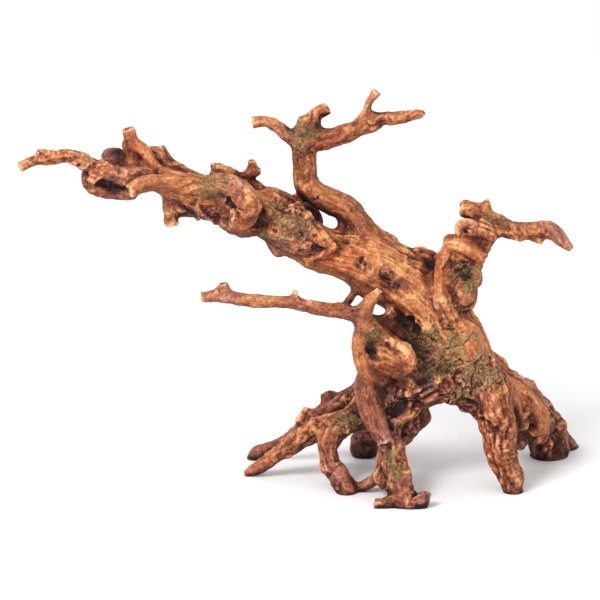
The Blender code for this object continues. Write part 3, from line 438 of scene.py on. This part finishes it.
# The studio: sky strength, and each lamp's name, watts, size in metres, place and aim.
SKY = 0.9
LAMPS = [
    ("key", 60.0, 1.0, (-1.3, -1.7, 2.1), (0.0, 0.0, 0.14)),
    ("fill", 5.0, 2.4, (2.2, -1.6, 1.0), (0.0, 0.0, 0.14)),
]
FLOOR_WIDTH = 60.0
FLOOR_GREY = 0.92
# The camera: its distance and the width it sees in metres, its slope in degrees, and its aim.
CAMERA_AWAY = 8.0
CAMERA_SPAN = 0.480
CAMERA_DOWN = 18.0
CAMERA_AIM = (-0.0014, -0.0059, 0.1513)
SENSOR = 36.0


# ---- noise
def lattice(cell, seed):
    """A repeatable random number from 0 to 1 for each whole-number corner."""
    x, y, z = cell.T.astype(np.uint32)
    mixed = x * np.uint32(374761393) + y * np.uint32(668265263) + z * np.uint32(2246822519)
    mixed += np.uint32((seed * 3266489917) % 2**32)
    mixed ^= mixed >> np.uint32(13)
    mixed *= np.uint32(1274126177)
    mixed ^= mixed >> np.uint32(16)
    mixed *= np.uint32(2654435761)
    mixed ^= mixed >> np.uint32(15)
    return mixed.astype(np.float32) / np.float32(2**32)


def noise(points, seed):
    """Smooth noise from -1 to 1 with features about one unit across."""
    cell = np.floor(points).astype(np.int64)
    part = (points - cell).astype(np.float32)
    part = part * part * part * (part * (part * 6 - 15) + 10)
    total = np.zeros(len(points), np.float32)
    for corner in product((0, 1), repeat=3):
        weights = np.where(corner, part, 1 - part)
        total += weights[:, 0] * weights[:, 1] * weights[:, 2] * lattice(cell + corner, seed)
    return 2 * total - 1


def layered(points, seed, layers):
    """Noise with finer, fainter copies of itself added."""
    total = np.zeros(len(points), np.float32)
    share, reach = 1.0, 0.0
    for layer in range(layers):
        total += share * noise(points * LAYER_STEP**layer, seed + layer)
        reach += share
        share *= 0.5
    return total / reach * LAYER_GAIN


def feature(name, points):
    """The noise of one row of FEATURES, read at the points."""
    height, size, seed, layers = FEATURES[name]
    if layers:
        return height * layered(points / size, seed, layers)
    return height * noise(points / size, seed)


def plates(points, seed):
    """Distance to the nearest crack between rounded plates about one unit across, and a plate number."""
    cell = np.floor(points).astype(np.int64)
    near = np.full(len(points), 9.0, np.float32)
    second = near.copy()
    which = np.zeros(len(points), np.float32)
    for corner in product((-1, 0, 1), repeat=3):
        shifts = np.stack([lattice(cell + corner, seed + k) for k in range(3)], 1)
        away = np.sqrt(((cell + corner + shifts - points) ** 2).sum(1)).astype(np.float32)
        closer = away < near
        second = np.where(closer, near, np.minimum(second, away))
        which = np.where(closer, shifts[:, 0], which)
        near = np.where(closer, away, near)
    return second - near, which


def ramp(value, low, high):
    """0 below low, 1 above high, smooth between."""
    share = np.clip((value - low) / (high - low), 0, 1)
    return share * share * (3 - 2 * share)


def risen(least, amount):
    """least where the amount is 0, and 1 where the amount is 1."""
    return least + (1 - least) * amount


# ---- the joined skin
def placed(x, y, z):
    """A drawn point in metres from the part's origin."""
    return Vector(((x - MIDDLE_X) * MM, (y - MIDDLE_Y) * MM, z * MM))


def dome(place, inside, radius):
    """Two more points that close an end as a dome."""
    outward = (place - inside).normalized() * radius
    return [(place + outward * out, radius * wide) for out, wide in DOME]


def with_ends(name, points):
    """The points with a dome at the start, and a dome or a flat break at the end."""
    spread = [(Vector(point[:3]), point[3]) for point in points]
    start = dome(spread[0][0], spread[1][0], spread[0][1])[::-1]
    end = dome(spread[-1][0], spread[-2][0], spread[-1][1])
    if name in SNAPPED:
        outward = (spread[-1][0] - spread[-2][0]).normalized() * FUSE
        end = [(spread[-1][0] + outward, spread[-1][1])]
    return start + spread + end


def branch_mesh(name, points):
    """A closed tapered tube along the points, with flat ends."""
    curve = bpy.data.curves.new(name, "CURVE")
    curve.dimensions = "3D"
    curve.bevel_depth = 1.0
    curve.bevel_resolution = 6
    curve.resolution_u = 12
    curve.use_fill_caps = True
    spline = curve.splines.new("BEZIER")
    spline.radius_interpolation = "CARDINAL"
    spread = with_ends(name, points)
    spline.bezier_points.add(len(spread) - 1)
    for knot, (place, radius) in zip(spline.bezier_points, spread):
        knot.co = placed(*place)
        knot.radius = (radius + SKIN + FUSE) * MM
        knot.handle_left_type = "AUTO"
        knot.handle_right_type = "AUTO"
    tube = bpy.data.objects.new(name, curve)
    bpy.context.scene.collection.objects.link(tube)
    graph = bpy.context.evaluated_depsgraph_get()
    mesh = bpy.data.meshes.new_from_object(tube.evaluated_get(graph))
    bpy.data.objects.remove(tube, do_unlink=True)
    return mesh


def joined_branches():
    """All the branches' tubes in one mesh, still passing through each other."""
    work = bmesh.new()
    for name, points in BRANCHES.items():
        mesh = branch_mesh(name, points)
        work.from_mesh(mesh)
        bpy.data.meshes.remove(mesh)
    bmesh.ops.remove_doubles(work, verts=work.verts, dist=TOUCH)
    mesh = bpy.data.meshes.new("driftwood_skin")
    work.to_mesh(mesh)
    work.free()
    return mesh


def add_modifier(obj, kind, **settings):
    modifier = obj.modifiers.new(kind.lower(), kind)
    for name, value in settings.items():
        setattr(modifier, name, value)


def cut_at_floor(mesh):
    """Takes off what lies below z = 0 and closes the feet with flat soles."""
    work = bmesh.new()
    work.from_mesh(mesh)
    everything = list(work.verts) + list(work.edges) + list(work.faces)
    cut = bmesh.ops.bisect_plane(
        work, geom=everything, dist=TOUCH, plane_co=(0, 0, 0), plane_no=(0, 0, 1), clear_inner=True
    )
    rims = [item for item in cut["geom_cut"] if isinstance(item, bmesh.types.BMEdge)]
    bmesh.ops.holes_fill(work, edges=rims, sides=0)
    work.to_mesh(mesh)
    work.free()


def grown_skin():
    """The branches joined in one fine skin, softened at the joints and cut level at the floor."""
    obj = bpy.data.objects.new("driftwood_skin", joined_branches())
    bpy.context.scene.collection.objects.link(obj)
    add_modifier(obj, "REMESH", mode="VOXEL", voxel_size=JOIN_GRID * MM)
    add_modifier(obj, "SMOOTH", factor=SMOOTH_SHARE, iterations=JOIN_STEPS)
    add_modifier(obj, "DISPLACE", mid_level=0.0, strength=-FUSE * MM)
    add_modifier(obj, "REMESH", mode="VOXEL", voxel_size=GRID * MM)
    add_modifier(obj, "SMOOTH", factor=SMOOTH_SHARE, iterations=SMOOTH_STEPS)
    graph = bpy.context.evaluated_depsgraph_get()
    mesh = bpy.data.meshes.new_from_object(obj.evaluated_get(graph))
    obj.modifiers.clear()
    obj.data = mesh
    cut_at_floor(mesh)
    for polygon in mesh.polygons:
        polygon.use_smooth = True
    return obj


# ---- branch coordinates
def heart_line(points):
    """Close places along a branch: position, radius, direction, two sides, and length so far."""
    knots = np.array(points, float)
    ends = np.vstack([2 * knots[0] - knots[1], knots, 2 * knots[-1] - knots[-2]])
    places = []
    for i in range(len(knots) - 1):
        a, b, c, d = ends[i : i + 4]
        steps = max(2, int(np.linalg.norm((c - b)[:3]) / HEART_STEP))
        for t in np.arange(steps) / steps:
            curved = 2 * b + (c - a) * t + (2 * a - 5 * b + 4 * c - d) * t**2
            places.append(0.5 * (curved + (3 * b - a - 3 * c + d) * t**3))
    places.append(knots[-1])
    places = np.array(places)
    heart, radius = places[:, :3], places[:, 3] + SKIN
    along = np.gradient(heart, axis=0)
    along /= np.linalg.norm(along, axis=1)[:, None]
    steps = np.linalg.norm(np.diff(heart, axis=0), axis=1)
    length = np.concatenate([[0.0], np.cumsum(steps)])
    side = np.zeros_like(heart)
    start = np.cross(along[0], (0.0, 0.0, 1.0))
    if np.linalg.norm(start) < 0.2:
        start = np.cross(along[0], (0.0, 1.0, 0.0))
    for i, direction in enumerate(along):
        start = start - direction * (start @ direction)
        start /= np.linalg.norm(start)
        side[i] = start
    return heart, radius, along, side, np.cross(along, side), length


def nearest_place(points, heart, radius):
    """For each point, the index of the branch place whose surface is nearest, and how far out it is."""
    best = np.zeros(len(points), np.float32)
    index = np.zeros(len(points), np.int64)
    p2 = (points**2).sum(1)
    h2 = (heart**2).sum(1)
    for start in range(0, len(points), AT_ONCE):
        part = slice(start, start + AT_ONCE)
        apart = p2[part, None] + h2[None] - 2 * points[part] @ heart.T
        apart = np.sqrt(np.maximum(apart, 0)) - radius[None]
        index[part] = apart.argmin(1)
        best[part] = apart.min(1)
    return index, best


def points_near(points, heart, reach):
    """The numbers of the points in the box round a branch's heart."""
    low, high = heart.min(0) - reach, heart.max(0) + reach
    return np.where(((points > low) & (points < high)).all(1))[0]


def branch_fields(points):
    """Blends, over the branches near each point, the grain in that branch's own directions."""
    weight = np.full(len(points), 1e-9)
    fields = defaultdict(lambda: np.zeros(len(points)))
    for number, (name, knots) in enumerate(BRANCHES.items()):
        heart, radius, along, side, other, length = heart_line(knots)
        near = points_near(points, heart, radius.max() + BLEND_REACH)
        index, out = nearest_place(points[near], heart, radius)
        keep = out < BLEND_REACH
        near, index, out = near[keep], index[keep], out[keep]
        offset = points[near] - heart[index]
        past = length[index] + (offset * along[index]).sum(1)
        across = [(offset * side[index]).sum(1), (offset * other[index]).sum(1)]
        local = np.stack([*across, past], 1) + BRANCH_STEP * number
        grain = local + feature("wander", local)[:, None] * (1.0, 1.0, 0.0)
        bent = local + feature("bend", local)[:, None]
        found = {kind: feature(kind, grain) for kind in ("ridges", "fibres", "hairs", "cracks")}
        found.update(lumps=feature("lumps", bent), knobs=np.abs(feature("knobs", bent)))
        found["radius"] = radius[index]
        found["tone_and_shade"], found["rough"] = LOOKS.get(name, PLAIN_LOOK)
        found["mossy"] = MOSSY.get(name, 0.0)
        found["cut"] = ramp(past - length[-1], *BREAK) * (name in SNAPPED)
        share = np.exp(-out / BLEND_SOFTNESS)
        weight[near] += share
        for kind, value in found.items():
            fields[kind][near] += share * value
    return {kind: (value / weight).astype(np.float32) for kind, value in fields.items()}


def clearance(points):
    """How far each point is from the nearest branch's surface or from the floor, up to a limit."""
    nearest = np.full(len(points), CLEAR_LIMIT)
    for knots in BRANCHES.values():
        heart, radius = [part[::2] for part in heart_line(knots)[:2]]
        near = points_near(points, heart, radius.max() + CLEAR_LIMIT / 2)
        out = nearest_place(points[near], heart, radius)[1]
        nearest[near] = np.minimum(nearest[near], out)
    return np.minimum(nearest, np.maximum(points[:, 2], -5.0) + 2.0)


def patch(points, spots, name):
    """0 to 1 inside the listed round spots, with a ragged rim."""
    total = np.full(len(points), -1.0)
    for x, y, z, size in spots:
        away = np.linalg.norm(points - (x, y, z), axis=1) / size
        total = np.maximum(total, 1 - away)
    return ramp(total + feature(name, points), -0.15, 0.6)


# ---- mesh helpers
class Skin:
    """The skin's points in drawn millimetres, with the neighbour averages that soften a field."""

    def __init__(self, obj):
        self.mesh = obj.data
        self.count = len(self.mesh.vertices)
        flat = np.empty(self.count * 3, np.float32)
        self.mesh.vertices.foreach_get("co", flat)
        self.points = flat.reshape(-1, 3).astype(float) / MM + (MIDDLE_X, MIDDLE_Y, 0)
        flat = np.empty(len(self.mesh.edges) * 2, np.int32)
        self.mesh.edges.foreach_get("vertices", flat)
        self.a, self.b = flat.reshape(-1, 2).T
        self.links = np.bincount(self.a, minlength=self.count) + np.bincount(self.b, minlength=self.count)
        self.links = np.maximum(self.links, 1)

    def average(self, values):
        total = np.bincount(self.a, values[self.b], self.count)
        total += np.bincount(self.b, values[self.a], self.count)
        return total / self.links

    def soften(self, values, times):
        for _ in range(times):
            values = 0.5 * values + 0.5 * self.average(values)
        return values

    def normals(self):
        self.write()
        flat = np.empty(self.count * 3, np.float32)
        self.mesh.vertex_normals.foreach_get("vector", flat)
        return flat.reshape(-1, 3).astype(float)

    def write(self):
        at = (self.points - (MIDDLE_X, MIDDLE_Y, 0)) * MM
        self.mesh.vertices.foreach_set("co", at.astype(np.float32).ravel())
        self.mesh.update()

    def hollow(self, times):
        """How far each point lies below its neighbourhood, in millimetres."""
        normal = self.normals()
        smooth = np.stack([self.soften(self.points[:, k], times) for k in range(3)], 1)
        return ((smooth - self.points) * normal).sum(1)

    def store(self, name, values):
        layer = self.mesh.attributes.new(name, "FLOAT", "POINT")
        layer.data.foreach_set("value", values.astype(np.float32))


# ---- the carving of the skin
def surface_fields(points):
    """The branch fields, with what grows on the skin and how gnarled, cracked and broken it is there."""
    fields = branch_fields(points)
    fields["ragged"] = feature("ragged", points)
    mossy = ramp(fields["mossy"] + 0.4 * fields["ragged"], 0.2, 0.8)
    moss = np.maximum(patch(points, MOSS, "moss"), mossy)
    scar = patch(points, SCARS, "scar")
    fields.update(moss=moss, scar=scar, bare=1 - np.clip(moss + scar, 0, 1))
    rugged = fields["rough"] + feature("rugged", points) + 0.5 * scar
    fields["gnarly"] = np.clip(rugged, 0.0, 1.1) * (1 - 0.6 * moss)
    broken = ramp(feature("broken", points), 0.2, 0.6)
    fields["crack"] = ramp(np.abs(fields["cracks"]), 0.05, 0.0) * broken
    fields["thick"] = ramp(fields["radius"], 4.0, 16.0)
    return fields


def grain_lift(points, warp, fields):
    """Ridges and fibres along the grain, slow swellings, and lumps where the wood is gnarly.

    The first number of each risen() is the share of that carving left on the thinnest branches.
    """
    radius, thick, gnarly, bare = (fields[name] for name in ("radius", "thick", "gnarly", "bare"))
    ropy = 0.3 + ramp(feature("rope", points), -0.2, 0.5)
    ridge = RIDGE_SHARE * np.minimum(radius, RIDGE_RADIUS) * (0.7 - 2 * np.abs(fields["ridges"]))
    lift = risen(0.35, thick) * ropy * ridge
    lift += (SWELL_SHARE * np.minimum(radius, SWELL_RADIUS) + 0.2) * feature("swell", warp)
    lift += risen(0.45, thick) * feature("ripple", warp)
    lift += risen(0.45, thick) * gnarly * (fields["lumps"] + fields["knobs"] - KNOB_LEVEL)
    lift += risen(0.40, thick) * gnarly * feature("boss", warp)
    lift += risen(0.50, thick) * gnarly * (0.3 - np.abs(feature("crease", warp)))
    fibres = FIBRE_HEIGHT * fields["fibres"] * (1 - 0.4 * gnarly)
    lift += risen(0.25, thick) * fibres * risen(0.5, bare)
    lift += HAIR_HEIGHT * fields["hairs"] * bare
    lift += feature("tooth", points) * risen(0.5, gnarly)
    return lift - risen(0.3, thick) * fields["crack"]


def bark_lift(points, warp, fields):
    """Cracked plates and fuzz where moss or a scar covers the wood."""
    moss, scar = fields["moss"], fields["scar"]
    bark = np.zeros(len(points))
    for size, seed, height, middle, depth, width in PLATES:
        seam, plate = plates(warp / size + 0.6 * fields["ragged"][:, None], seed)
        bark += height * (plate - middle) - depth * ramp(seam, width, 0.0)
    lift = risen(0.35, fields["thick"]) * (MOSS_BARK * moss + SCAR_BARK * scar) * bark
    return lift + np.maximum(moss, scar) * feature("fuzz", points) - SCAR_DEPTH * scar


def spot_distances(points, spots, name):
    """For each spot, the distance from it in reaches, with a wobbly rim, and its last number."""
    rim = feature(name, points)
    for x, y, z, reach, strength in spots:
        yield np.linalg.norm(points - (x, y, z), axis=1) / reach + rim, strength


def spot_lift(points):
    """Knots with rings round them, less the pits."""
    lift = np.zeros(len(points))
    for away, height in spot_distances(points, KNOTS, "knot"):
        ring = np.cos(np.minimum(away, 1.4) * math.pi * 2.4) * ramp(away, 1.3, 0.5)
        lift += height * (ramp(away, 1.2, 0.0) + 0.12 * ring)
    for away, depth in spot_distances(points, PITS, "pit"):
        lift -= depth * ramp(away, 1.0, 0.35)
    return lift


def store_looks(skin, fields, drawn):
    """Stores, for the colours, the shape of the finished skin, what grows on it, and the painted shade of
    closed-in places, creases, hollows, shadowed spots and undersides.
    """
    crease_shade, hollow = skin.hollow(2), skin.hollow(22)
    normal = skin.normals()
    # Painted shade: how closed in the space round the skin is, which darkens the wood.
    near, far = [np.clip(clearance(skin.points + normal * gap) / gap, 0, 1) for gap in GAPS]
    streak = np.clip(0.6 * fields["fibres"] + 0.4 * fields["hairs"], -1, 1)
    tone_and_shade = fields["tone_and_shade"]
    # Painted shadows: the tone is darkened in the listed hollows.
    for away, dark in spot_distances(drawn, PAINTED_SHADOWS, "shadow"):
        tone_and_shade = tone_and_shade - dark * ramp(away, 1.1, 0.4)
    # Painted shade in creases and hollows, and painted highlight on the ridges.
    skin.store("crease_shade", np.clip(0.5 + 1.6 * crease_shade, 0, 1))
    skin.store("hollow", np.clip(0.5 + 0.55 * hollow, 0, 1))
    skin.store("open", skin.soften(0.5 * near + 0.5 * far, 6))
    skin.store("streak", 0.5 + 0.5 * streak)
    skin.store("broad", 0.5 + 0.5 * np.clip(fields["ridges"], -1, 1))
    for name in ("crack", "moss", "scar", "cut"):
        skin.store(name, fields[name])
    skin.store("tone_and_shade", tone_and_shade)
    # Painted shade: the wood is darker where the skin faces down.
    skin.store("underside_shade", ramp(skin.soften(normal[:, 2], 4), 0.35, -0.75))


def carve(obj):
    """Moves the skin's points into ridges, knots, bark and breaks, and stores what the colours need."""
    skin = Skin(obj)
    points = skin.points
    drawn = points.copy()
    normal = skin.normals()
    fields = surface_fields(drawn)
    size, seed, reach = WARP
    warp = drawn + reach * np.stack([noise(drawn / size, seed + k) for k in range(3)], 1)
    lift = grain_lift(drawn, warp, fields) + bark_lift(drawn, warp, fields) + spot_lift(drawn)
    lift += fields["cut"] * (feature("splinter", drawn) - 0.2)

    sole = drawn[:, 2] < SOLE
    lift *= risen(0.35, ramp(drawn[:, 2], 0.0, FOOT))
    points += normal * np.where(sole, 0.0, lift)[:, None]
    points[:, 2] = np.where(sole, 0.0, np.maximum(points[:, 2], ABOVE_FLOOR))
    for k in range(3):
        points[:, k] += SETTLE * np.where(sole, 0.0, skin.average(points[:, k]) - points[:, k])
    store_looks(skin, fields, drawn)
    skin.write()


# ---- materials
class Nodes:
    """Short calls for building a node tree."""

    def __init__(self, name):
        self.material = bpy.data.materials.new(name)
        self.material.use_nodes = True
        self.tree = self.material.node_tree
        self.shader = self.tree.nodes["Principled BSDF"]

    def link(self, source, target):
        self.tree.links.new(source, target)

    def new(self, kind, **settings):
        node = self.tree.nodes.new("ShaderNode" + kind)
        for name, value in settings.items():
            setattr(node, name, value)
        return node

    def put(self, node, names, values):
        """Sets each named input to its number, or links it to its source."""
        for name, value in zip(names, values):
            if isinstance(value, (int, float, tuple)):
                node.inputs[name].default_value = value
            else:
                self.link(value, node.inputs[name])

    def attribute(self, name):
        return self.new("Attribute", attribute_name=name).outputs["Fac"]

    def position(self, scale):
        node = self.new("VectorMath", operation="SCALE")
        self.put(node, (0, "Scale"), (self.new("NewGeometry").outputs["Position"], scale))
        return node.outputs["Vector"]

    def speckle(self, vector, name):
        node = self.new("TexNoise")
        self.put(node, ("Vector", "Scale", "Detail", "Roughness"), (vector, *SPECKLES[name]))
        return node.outputs["Fac"]

    def sums(self, operation, *values, clamp=False):
        node = self.new("Math", operation=operation, use_clamp=clamp)
        self.put(node, range(3), values)
        return node.outputs[0]

    def times(self, value, share):
        return self.sums("MULTIPLY", value, share)

    def plus(self, value, more, clamp=False):
        return self.sums("ADD", value, more, clamp=clamp)

    def about_half(self, value, share):
        """A pattern that runs from 0 to 1, brought down to run evenly round 0, times a share."""
        return self.times(self.sums("SUBTRACT", value, 0.5), share)

    def spread(self, value, low, high):
        node = self.new("MapRange", interpolation_type="SMOOTHSTEP")
        self.put(node, ("Value", "From Min", "From Max"), (value, low, high))
        return node.outputs["Result"]

    def colours(self, value, stops):
        node = self.new("ValToRGB")
        self.link(value, node.inputs["Fac"])
        strip = node.color_ramp.elements
        for place, _ in stops[1:-1]:
            strip.new(place)
        for element, (place, colour) in zip(strip, stops):
            element.position = place
            element.color = (*colour, 1.0)
        return node.outputs["Color"]

    def mixed(self, share, a, b, blend="MIX"):
        node = self.new("Mix", data_type="RGBA", blend_type=blend)
        self.put(node, (0, 6, 7), (share, a, b))
        return node.outputs[2]


def linear(screen):
    """A screen colour that isn't near black, 0 to 255, as the renderer's linear light."""
    return (*[((value / 255 + 0.055) / 1.055) ** 2.4 for value in screen], 1.0)


def wood_level(n, patterns):
    """Where each point lies on the colour strips, darkened by painted shade in closed-in places, creases,
    hollows, shadowed spots and undersides, and lifted by painted highlight on ridges.
    """
    # Painted shade where the space round the skin is closed in.
    shut = n.sums("MINIMUM", n.sums("SUBTRACT", n.attribute("open"), OPEN_FULL), 0.0)
    level = n.plus(n.times(shut, OPEN_SHADE), LEVEL_START)
    for name, share in LEVELS.items():
        level = n.plus(level, n.about_half(patterns[name], share))
    for name, share in MORE_LEVELS.items():
        level = n.plus(level, n.times(n.attribute(name), share))
    level.node.use_clamp = True
    return level


def bare_wood(n, where, level):
    """Orange-brown wood with redder and more purple patches, paler breaks and dark scars; the purple grows
    where painted shade darkens the tone.
    """
    wood = n.colours(level, WOOD_STOPS)
    red = n.times(n.spread(n.speckle(where, "red"), 0.40, 0.72), RED_SHARE)
    wood = n.mixed(red, wood, linear(RED), "OVERLAY")
    purple = n.times(n.spread(n.speckle(where, "purple"), 0.44, 0.66), PURPLE_SHARE)
    purple = n.sums("SUBTRACT", purple, n.times(n.attribute("tone_and_shade"), PURPLE_TONE), clamp=True)
    wood = n.mixed(purple, wood, n.colours(level, PURPLE_STOPS))
    wood = n.mixed(n.times(n.attribute("cut"), CUT_SHARE), wood, n.colours(level, CUT_STOPS))
    return n.mixed(n.times(n.attribute("scar"), SCAR_SHARE), wood, n.colours(level, SCAR_STOPS))


def moss_colour(n, where, level, grit):
    """Brown moss with yellower patches."""
    level = n.sums("MULTIPLY_ADD", level, *MOSS_LEVEL)
    level = n.plus(level, n.about_half(grit, 0.35), clamp=True)
    yellow = n.times(n.spread(n.speckle(where, "yellow"), 0.47, 0.60), YELLOW_SHARE)
    return n.mixed(yellow, n.colours(level, MOSS_STOPS), n.colours(level, YELLOW_STOPS))


def fine_relief(n, where, grit):
    """Relief too fine for the mesh."""
    bump = n.new("Bump")
    grain = n.plus(grit, n.times(n.speckle(where, "dust"), 0.6))
    n.put(bump, ("Strength", "Distance", "Height"), (BUMP_STRENGTH, BUMP_DEPTH, grain))
    n.link(bump.outputs["Normal"], n.shader.inputs["Normal"])


def wood_material():
    n = Nodes("driftwood_wood")
    where = n.position(1 / MM)
    patterns = {name: n.speckle(where, name) for name in ("cloud", "grit", "blotch")}
    patterns.update({name: n.attribute(name) for name in ("crease_shade", "hollow", "broad")})
    grit = patterns["grit"]
    level = wood_level(n, patterns)
    wood = bare_wood(n, where, level)
    mossy = n.plus(n.attribute("moss"), n.about_half(patterns["blotch"], 1.7))
    mossy = n.times(n.spread(mossy, 0.05, 1.10), MOSS_SHARE)
    wood = n.mixed(mossy, wood, moss_colour(n, where, level, grit))
    n.link(wood, n.shader.inputs["Base Color"])
    rough = n.sums("MULTIPLY_ADD", mossy, MOSS_ROUGHNESS, ROUGHNESS)
    n.link(n.plus(rough, n.times(grit, GRIT_ROUGHNESS)), n.shader.inputs["Roughness"])
    n.shader.inputs["Specular IOR Level"].default_value = HIGHLIGHT
    fine_relief(n, where, grit)
    return n.material


def floor_material():
    n = Nodes("studio_floor")
    n.shader.inputs["Base Color"].default_value = (FLOOR_GREY, FLOOR_GREY, FLOOR_GREY, 1.0)
    n.shader.inputs["Roughness"].default_value = 0.9
    return n.material


# ---- studio
def soft_light(name, power, size, place, aim):
    light = bpy.data.lights.new(name, "AREA")
    light.energy = power
    light.size = size
    lamp = bpy.data.objects.new(name, light)
    lamp.location = place
    lamp.rotation_euler = (Vector(aim) - Vector(place)).to_track_quat("-Z", "Y").to_euler()
    bpy.context.scene.collection.objects.link(lamp)


def studio():
    bpy.ops.mesh.primitive_plane_add(size=FLOOR_WIDTH, location=(0.0, 0.0, 0.0))
    floor = bpy.context.object
    floor.name = "studio_floor"
    floor.data.materials.append(floor_material())
    world = bpy.data.worlds.new("studio")
    bpy.context.scene.world = world
    world.use_nodes = True
    sky = world.node_tree.nodes["Background"]
    sky.inputs["Color"].default_value = (1.0, 1.0, 1.0, 1.0)
    sky.inputs["Strength"].default_value = SKY
    for lamp in LAMPS:
        soft_light(*lamp)
    bpy.context.scene.view_settings.view_transform = "Standard"


def camera():
    """A long lens that looks down on the piece a little from the front."""
    lens = bpy.data.cameras.new("camera")
    lens.sensor_width = SENSOR
    lens.lens = SENSOR * CAMERA_AWAY / CAMERA_SPAN
    lens.clip_start = 0.1
    lens.clip_end = 200.0
    eye = bpy.data.objects.new("camera", lens)
    aim = Vector(CAMERA_AIM)
    down = math.radians(CAMERA_DOWN)
    eye.location = aim + Vector((0.0, -math.cos(down), math.sin(down))) * CAMERA_AWAY
    eye.rotation_euler = (aim - eye.location).to_track_quat("-Z", "Y").to_euler()
    bpy.context.scene.collection.objects.link(eye)
    bpy.context.scene.camera = eye


def main():
    wood = grown_skin()
    wood.name = "driftwood_body"
    carve(wood)
    wood.data.materials.clear()
    wood.data.materials.append(wood_material())
    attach(wood, "root")
    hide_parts("driftwood")
    studio()
    camera()


main()
